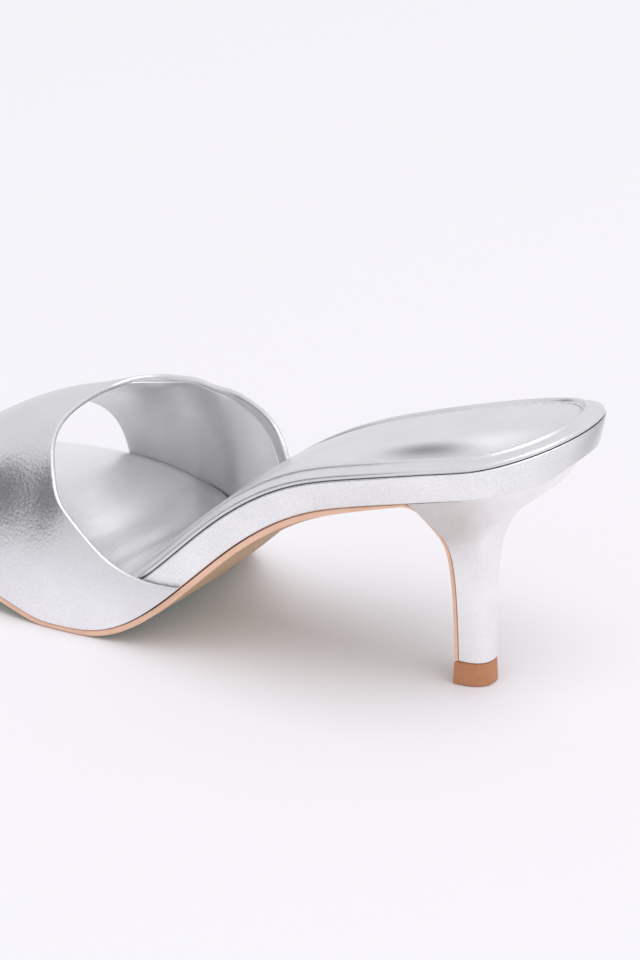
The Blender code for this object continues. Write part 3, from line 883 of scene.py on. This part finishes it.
def fine_stem_grid(inset=0.0):
    """Plan grid of the heel's stem with many rows, moved in by an inset."""
    turn = np.linspace(0, math.pi / 2, FINE_HEEL_ROWS + 1)
    front = HEEL_STEM_SETBACK + HEEL_STEM_DEPTH
    x = front - HEEL_STEM_DEPTH * np.clip(np.cos(turn), 0, 1) ** STEM_SQUARENESS
    y = HEEL_STEM_WIDTH / 2 * np.sin(turn) ** STEM_SQUARENESS
    plan = across(np.concatenate([np.stack([x, y], -1), np.stack([x, -y], -1)[::-1]]), HEEL_COLUMNS_FINE)
    centre = np.array([front - HEEL_STEM_DEPTH / 2, 0.0])
    return centre + (plan - centre) * (1 - 2 * inset / HEEL_STEM_WIDTH)


def fine_seat_grid():
    """Plan grid of the heel's seat under the back of the board."""
    turn = np.linspace(0, unroll(BREAST_FROM_BACK / FOOTBED_LENGTH), FINE_HEEL_ROWS + 1)
    at = (1 - np.cos(math.pi * turn)) / 2
    inset = BOARD_WALL_LEAN + HEEL_SEAT_INSET
    back = BOARD_BACK_LEAN + inset
    middle = edge("lateral", 0.0)
    x = back + (BREAST_FROM_BACK - back) * at / at[-1]
    sides = []
    for side in ("lateral", "medial"):
        full = edge(side, at) - middle
        widest = np.abs(full).max()
        sides.append(np.stack([x, middle + full * (1 - inset / widest)], -1))
    return across(np.concatenate([sides[0], sides[1][::-1]]), HEEL_COLUMNS_FINE)


def fine_heel_level(rise, inset=0.0, drop=0.0):
    """The heel's grid at a share of its height."""
    stem = fine_stem_grid(inset)
    seat = fine_seat_grid()
    seat_height = board_under(seat)[..., 2] - GAP
    front = read(HEEL, HEEL_COLUMNS, "front", rise)
    width = read(HEEL, HEEL_COLUMNS, "width", rise)
    back = read(HEEL, HEEL_COLUMNS, "back", rise)
    behind = (BREAST_FROM_BACK - seat[..., 0]) / np.ptp(seat[..., 0])
    spread = np.stack([front + (back - front) * behind, np.full_like(behind, width)], -1)
    plan = stem + (seat - stem) * spread
    foot = TOP_PIECE_HEIGHT + GAP
    height = foot + (seat_height - foot) * rise + drop
    return np.concatenate([plan, height[..., None]], -1)


def make_heel_cover(material):
    """The covered heel, lofted from its slim stem to the seat, with a rounded lower edge."""
    edge_turn = quarter(EDGE_STEPS)
    levels = [fine_heel_level(0.0, HEEL_EDGE * (1 - s), HEEL_EDGE * (1 - c)) for s, c in edge_turn]
    levels += [fine_heel_level(rise) for rise in np.linspace(0, 1, FINE_HEEL_LEVELS)[1:]]
    points, faces, _ = layers_mesh(levels)
    add_piece("heel_cover", points, faces, [material], ["heel"], sharp=CREASE_ANGLE)


def make_heel_tip(material):
    """The top piece under the stem and the flap, with rounded edges."""
    plan = fine_stem_grid()
    plan[..., 0] = HEEL_STEM_SETBACK + (plan[..., 0] - HEEL_STEM_SETBACK) * TIP_DEEPER
    centre = np.array([TIP_MIDDLE, 0.0])
    edge_turn = quarter(EDGE_STEPS)
    section = [(TIP_EDGE * (1 - c), TOP_PIECE_FLARE - TOP_PIECE_BEVEL * (1 - s)) for s, c in edge_turn]
    section += [(TOP_PIECE_HEIGHT - TIP_EDGE, 0.0), (TOP_PIECE_HEIGHT, -TIP_EDGE)]
    layers = []
    for height, flare in section:
        grown = centre + (plan - centre) * (1 + 2 * flare / HEEL_STEM_WIDTH)
        layers.append(np.concatenate([grown, np.full((*grown.shape[:2], 1), height)], -1))
    points, faces, _ = layers_mesh(layers)
    add_piece("heel_tip", points, faces, [material], ["top_piece"], sharp=CREASE_ANGLE)


def flap_rows():
    """The outsole's flap down the breast, from the stem's foot up: its back and its front grids."""
    rises = np.append(np.linspace(0, FLAP_TOP, FLAP_LEVELS), 1.0)
    breast = np.array([fine_heel_level(rise)[-1] for rise in rises])
    shares = read(HEEL, HEEL_COLUMNS, "flap", rises)
    line = breast[:, 0, [0, 2]]
    along = unit(np.gradient(line, axis=0))
    forward = np.stack([along[:, 1], -along[:, 0]], -1)
    middle = breast[:, :, 1].mean(1, keepdims=True)
    y = middle + (breast[:, :, 1] - middle) * shares[:, None]
    grids = []
    for depth in (GAP, GAP + FLAP_THICKNESS):
        place = line + forward * depth
        x, z = np.broadcast_to(place[:, None, :], (*y.shape, 2)).transpose(2, 0, 1)
        grids.append(np.stack([x, y, z], -1))
    return grids


def sole_rows():
    """The outsole under the board, from the breast to the toe: its upper and its under grids."""
    start = (BREAST_FROM_BACK + BREAST_FILLET) / FOOTBED_LENGTH
    loop = footbed_loop(start, SOLE_LOOP_ROWS)
    margin = read(WELT, WELT_COLUMNS, "margin", loop[:, 0] / FOOTBED_LENGTH) * UPPER_WALL
    plan = across(inset_loop(loop, board_lean(loop) - margin, closed=False), HEEL_COLUMNS_FINE)
    at = plan[..., 0] / FOOTBED_LENGTH
    thickness = read(WELT, WELT_COLUMNS, "thickness", at) * OUTSOLE_THICKNESS
    belly = np.clip(read(WELT, WELT_COLUMNS, "belly", at), 0, None) * WAIST_BELLY
    side = 2 * np.linspace(0, 1, HEEL_COLUMNS_FINE + 1) - 1
    upper = lifted(plan, -GAP)
    under = lifted(plan, -GAP - thickness - belly * (1 - side**2))
    under[..., 2] = np.maximum(under[..., 2], 0)
    return upper, under


def bent(flap, sole, drop):
    """Rows that turn from the flap into the sole round the breast's top corner, lowered by a drop."""
    share = np.linspace(0, 1, FINE_FILLET_ROWS + 1)[1:-1, None, None]
    corner = flap[-1] + np.array([0, 0, -drop])
    turn = (1 - share) ** 2 * flap[-2] + 2 * share * (1 - share) * corner + share**2 * sole[0]
    return np.concatenate([flap[:-1], turn, sole])


def narrowed(grid, distance):
    """A grid whose rows are drawn in at both sides by a distance."""
    middle = (grid[:, :1] + grid[:, -1:]) / 2
    half = np.linalg.norm(grid[:, :1] - grid[:, -1:], axis=-1, keepdims=True) / 2
    return middle + (grid - middle) * np.clip(1 - distance / np.maximum(half, distance), 0, 1)


def make_sole(edge_material, under_material):
    """The leather outsole with its flap, its trimmed edge and its darker underside."""
    flap_back, flap_front = flap_rows()
    upper, under = sole_rows()
    top = bent(flap_back, upper, 0.0)
    bottom = bent(flap_front, under, FLAP_THICKNESS)
    layers = [narrowed(top, SOLE_ARRIS)]
    for share in SOLE_EDGE_LEVELS:
        layers.append(top + (bottom - top) * share)
    layers.append(narrowed(top + (bottom - top) * SOLE_TURN_LEVEL, SOLE_ARRIS * SOLE_TURN_SHARE))
    layers.append(narrowed(bottom, SOLE_ARRIS))
    points, faces, zones = layers_mesh(layers, zone_of=(0, 1, 0))
    leathers = [edge_material, under_material]
    add_piece("sole_leather", points, faces, leathers, ["outsole"], zones, CREASE_ANGLE)


def set_inputs(made, **values):
    """Input values of a node, whose names have _ for each space."""
    for name, value in values.items():
        made.inputs[name.replace("_", " ")].default_value = value


def node(tree, kind, **values):
    """A shader node with its input values set."""
    made = tree.nodes.new(kind)
    set_inputs(made, **values)
    return made


def new_material(name):
    """An empty Principled material and its parts: tree, shader and object coordinates in metres."""
    material = bpy.data.materials.new(name)
    material.use_nodes = True
    tree = material.node_tree
    shader = tree.nodes["Principled BSDF"]
    place = tree.nodes.new("ShaderNodeTexCoord").outputs["Object"]
    return material, tree, shader, place


def noise(tree, place, size, detail=2.0, roughness=0.5):
    """Noise whose cells have about the given size in metres."""
    made = node(tree, "ShaderNodeTexNoise", Scale=1 / size, Detail=detail, Roughness=roughness)
    tree.links.new(place, made.inputs["Vector"])
    return made.outputs["Fac"]


def ramp(tree, value, low, high, start, end):
    """A value from start to end spread over the range low to high."""
    made = node(tree, "ShaderNodeMapRange", From_Min=low, From_Max=high, To_Min=start, To_Max=end)
    tree.links.new(value, made.inputs["Value"])
    return made.outputs["Result"]


def mixed(tree, share, first, second):
    """A colour between two, by a share."""
    made = node(tree, "ShaderNodeMix")
    made.data_type = "RGBA"
    set_inputs(made, A=(*first, 1.0), B=(*second, 1.0))
    tree.links.new(share, made.inputs["Factor"])
    return made.outputs["Result"]


def bump(tree, height, distance, strength, before=None):
    """A bump of a height in metres on top of the one before."""
    made = node(tree, "ShaderNodeBump", Strength=strength, Distance=distance)
    tree.links.new(height, made.inputs["Height"])
    if before is not None:
        tree.links.new(before, made.inputs["Normal"])
    return made.outputs["Normal"]


def with_painted_light_and_shade(tree, place, painted_light_and_shade, start):
    """Painted light and shade: a gain from its start, changed inside each soft patch of the object."""
    gain = start
    for centre, turn, reach, change in painted_light_and_shade:
        local = node(tree, "ShaderNodeMapping", Location=centre, Scale=reach)
        local.vector_type = "TEXTURE"
        set_inputs(local, Rotation=(0.0, 0.0, math.radians(turn)))
        tree.links.new(place, local.inputs["Vector"])
        far = node(tree, "ShaderNodeVectorMath")
        far.operation = "LENGTH"
        tree.links.new(local.outputs["Vector"], far.inputs[0])
        soft = node(tree, "ShaderNodeMapRange", To_Min=change, To_Max=1.0)
        soft.interpolation_type = "SMOOTHSTEP"
        tree.links.new(far.outputs["Value"], soft.inputs["Value"])
        product = node(tree, "ShaderNodeMath")
        product.operation = "MULTIPLY"
        tree.links.new(gain, product.inputs[0])
        tree.links.new(soft.outputs["Result"], product.inputs[1])
        gain = product.outputs["Value"]
    return gain


def silver_leather(name, silver, texture, metal=SILVER_METAL, painted_light_and_shade=()):
    """Silver foil leather: a soft metallic gloss over pebbled grain, with fine crinkles in the foil, and
    painted light and shade where given.
    """
    grain, crinkle, speckle = texture
    material, tree, shader, place = new_material(name)
    cells = node(tree, "ShaderNodeTexVoronoi", Scale=1 / PEBBLE_SIZE)
    cells.feature = "SMOOTH_F1"
    set_inputs(cells, Smoothness=PEBBLE_SMOOTHNESS)
    tree.links.new(place, cells.inputs["Vector"])
    clouds = noise(tree, place, CLOUD_SIZE)
    fine = noise(tree, place, FINE_SIZE, *FINE_NOISE)
    tone = ramp(tree, clouds, *NOISE_RANGE, 0.0, 1.0)
    shade = [SILVER_SHADE * part for part in silver]
    # The speckle's gain, times the painted light and shade
    gain = with_painted_light_and_shade(tree, place, painted_light_and_shade, ramp(tree, fine, *SPECKLE_RANGE, 1 - speckle, 1.0))
    scaled = node(tree, "ShaderNodeVectorMath")
    scaled.operation = "SCALE"
    tree.links.new(mixed(tree, tone, shade, silver), scaled.inputs["Vector"])
    tree.links.new(gain, scaled.inputs["Scale"])
    tree.links.new(scaled.outputs["Vector"], shader.inputs["Base Color"])
    tree.links.new(ramp(tree, fine, *NOISE_RANGE, *SILVER_ROUGHNESS), shader.inputs["Roughness"])
    set_inputs(shader, Metallic=metal, Coat_Weight=COAT_WEIGHT, Coat_Roughness=COAT_ROUGHNESS)
    first = bump(tree, cells.outputs["Distance"], PEBBLE_DEPTH, grain)
    second = bump(tree, fine, CRINKLE_DEPTH, crinkle, first)
    third = bump(tree, noise(tree, place, WAVE_SIZE), WAVE_DEPTH, 1.0, second)
    tree.links.new(third, shader.inputs["Normal"])
    return material


def tan_leather(name, dark, light, roughness, fibre):
    """Tanned sole leather, or the top piece's rubber: a warm mottled tan with fine fibres."""
    material, tree, shader, place = new_material(name)
    tone = ramp(tree, noise(tree, place, TAN_CLOUD_SIZE, *TAN_CLOUD_NOISE), *NOISE_RANGE, 0.0, 1.0)
    tree.links.new(mixed(tree, tone, dark, light), shader.inputs["Base Color"])
    fine = noise(tree, place, fibre, *TAN_FIBRE_NOISE)
    least, most = roughness - TAN_ROUGHNESS_SPREAD, roughness + TAN_ROUGHNESS_SPREAD
    tree.links.new(ramp(tree, fine, *NOISE_RANGE, least, most), shader.inputs["Roughness"])
    tree.links.new(bump(tree, fine, TAN_DEPTH, TAN_STRENGTH), shader.inputs["Normal"])
    return material


def thread_material():
    """Silver polyester thread, twisted."""
    material, tree, shader, place = new_material("silver_thread")
    twist = node(tree, "ShaderNodeTexWave", Scale=1 / THREAD_TWIST, Distortion=THREAD_DISTORTION)
    twist.bands_direction = "DIAGONAL"
    tree.links.new(place, twist.inputs["Vector"])
    strand = twist.outputs["Fac"]
    tree.links.new(mixed(tree, strand, THREAD_DARK, THREAD_LIGHT), shader.inputs["Base Color"])
    tree.links.new(bump(tree, strand, THREAD_DEPTH, THREAD_STRENGTH), shader.inputs["Normal"])
    set_inputs(shader, Roughness=THREAD_ROUGHNESS, Metallic=THREAD_METAL)
    return material


def make_pieces():
    """Every piece of the shoe with its material."""
    sock = silver_leather("silver_sock", SOCK_SILVER, SOCK_TEXTURE, painted_light_and_shade=SOCK_PAINTED_LIGHT_AND_SHADE)
    wrap = silver_leather("silver_wrap", WRAP_SILVER, WRAP_TEXTURE, painted_light_and_shade=WRAP_PAINTED_SHADE)
    vamp = silver_leather("silver_vamp", VAMP_SILVER, VAMP_TEXTURE, painted_light_and_shade=VAMP_PAINTED_LIGHT)
    # The lining, made lighter as painted light for the dim inside of the vamp
    lining = silver_leather("silver_lining_with_painted_light", LINING_SILVER_WITH_PAINTED_LIGHT, LINING_TEXTURE, LINING_METAL)
    cover = silver_leather("silver_cover", COVER_SILVER, COVER_TEXTURE)
    edge_tan = tan_leather("tan_edge", TAN_EDGE_DARK, TAN_EDGE_LIGHT, *TAN_EDGE_SURFACE)
    under_tan = tan_leather("tan_underside", TAN_UNDER_DARK, TAN_UNDER_LIGHT, *TAN_UNDER_SURFACE)
    tip_tan = tan_leather("tip_rubber", TIP_DARK, TIP_LIGHT, *TIP_SURFACE)
    make_board_wrap(wrap)
    make_sock_pad(sock)
    make_stitches(thread_material())
    make_vamp(vamp, lining)
    make_heel_cover(cover)
    make_heel_tip(tip_tan)
    make_sole(edge_tan, under_tan)


def make_camera():
    """The photograph's camera: a long lens above and beside the heel, rolled by a hair."""
    azimuth, elevation, roll = (math.radians(a) for a in (VIEW_AZIMUTH, VIEW_ELEVATION, VIEW_ROLL))
    target = Vector(np.array(VIEW_TARGET) + OFFSET)
    flat = math.cos(elevation)
    back = Vector((-math.sin(azimuth) * flat, math.cos(azimuth) * flat, math.sin(elevation)))
    right = (-back).cross(Vector((0, 0, 1))).normalized()
    up = right.cross(-back)
    turned_right = right * math.cos(roll) + up * math.sin(roll)
    turned_up = up * math.cos(roll) - right * math.sin(roll)
    off_x = (IMAGE_WIDTH / 2 - VIEW_CENTRE_X) / VIEW_FOCAL
    off_y = (VIEW_CENTRE_Y - IMAGE_HEIGHT / 2) / VIEW_FOCAL
    aim = (-back + turned_right * off_x + turned_up * off_y).normalized()
    side = (turned_right - aim * turned_right.dot(aim)).normalized()
    top = side.cross(aim)
    camera = bpy.data.objects.new("camera", bpy.data.cameras.new("camera"))
    camera.data.sensor_width = SENSOR_WIDTH
    camera.data.lens = VIEW_FOCAL / IMAGE_HEIGHT * camera.data.sensor_width
    camera.data.clip_start = CLIP_START
    camera.data.clip_end = CLIP_END
    bpy.context.scene.collection.objects.link(camera)
    turn = Matrix((side, top, -aim)).transposed()
    camera.matrix_world = Matrix.Translation(target + back * VIEW_DISTANCE) @ turn.to_4x4()
    bpy.context.scene.camera = camera


def area_light(name, place, size, power):
    """A soft box at a place, turned to the shoe."""
    light = bpy.data.lights.new(name, "AREA")
    light.shape = "RECTANGLE"
    light.size, light.size_y = size
    light.energy = power
    item = bpy.data.objects.new(name, light)
    item.location = place
    item.rotation_mode = "QUATERNION"
    item.rotation_quaternion = (Vector(LIGHT_AIM) - Vector(place)).to_track_quat("-Z", "Y")
    bpy.context.scene.collection.objects.link(item)


def make_floor():
    """The plain pale floor."""
    bpy.ops.mesh.primitive_plane_add(size=FLOOR_SIZE, location=(0, 0, FLOOR_DROP))
    floor = bpy.context.object
    floor.name = "floor"
    material, _, shader, _ = new_material("floor_white")
    set_inputs(shader, Base_Color=(*FLOOR_COLOUR, 1.0), Roughness=FLOOR_ROUGHNESS)
    set_inputs(shader, Specular_IOR_Level=FLOOR_SPECULAR)
    set_inputs(shader, Emission_Color=(*FLOOR_GLOW_COLOUR, 1.0), Emission_Strength=FLOOR_GLOW)
    floor.data.materials.append(material)


def make_card(name, azimuth, elevation, size, glow):
    """A dark or a glowing card beside the shoe, seen only in its reflections."""
    round_way, up_way = math.radians(azimuth), math.radians(elevation)
    flat = math.cos(up_way)
    way = Vector((math.cos(round_way) * flat, math.sin(round_way) * flat, math.sin(up_way)))
    bpy.ops.mesh.primitive_plane_add(size=1.0, location=Vector(LIGHT_AIM) + way * CARD_DISTANCE)
    card = bpy.context.object
    card.name = name
    card.scale = (*size, 1.0)
    card.rotation_mode = "QUATERNION"
    card.rotation_quaternion = (-way).to_track_quat("Z", "Y")
    material, _, shader, _ = new_material(name)
    set_inputs(shader, Base_Color=(*CARD_BLACK, 1.0))
    set_inputs(shader, Emission_Color=(1.0, 1.0, 1.0, 1.0), Emission_Strength=glow)
    card.data.materials.append(material)
    card.visible_camera = False
    card.visible_diffuse = False
    card.visible_shadow = False


def make_studio():
    """White surroundings, soft boxes and the cards that shade the silver."""
    world = bpy.data.worlds.new("studio")
    bpy.context.scene.world = world
    world.use_nodes = True
    tree = world.node_tree
    sky = tree.nodes["Background"]
    set_inputs(sky, Color=(*SKY_COLOUR, 1.0))
    path = tree.nodes.new("ShaderNodeLightPath")
    strength = ramp(tree, path.outputs["Is Glossy Ray"], 0.0, 1.0, SKY_STRENGTH, SKY_IN_GLOSS)
    tree.links.new(strength, sky.inputs["Strength"])
    for name, place, size, power in SOFT_BOXES:
        area_light(name, place, size, power)
    for name, azimuth, elevation, size, glow in CARDS:
        make_card(name, azimuth, elevation, size, glow)
    bpy.context.scene.view_settings.view_transform = "Standard"


make_pieces()
make_floor()
make_studio()
make_camera()
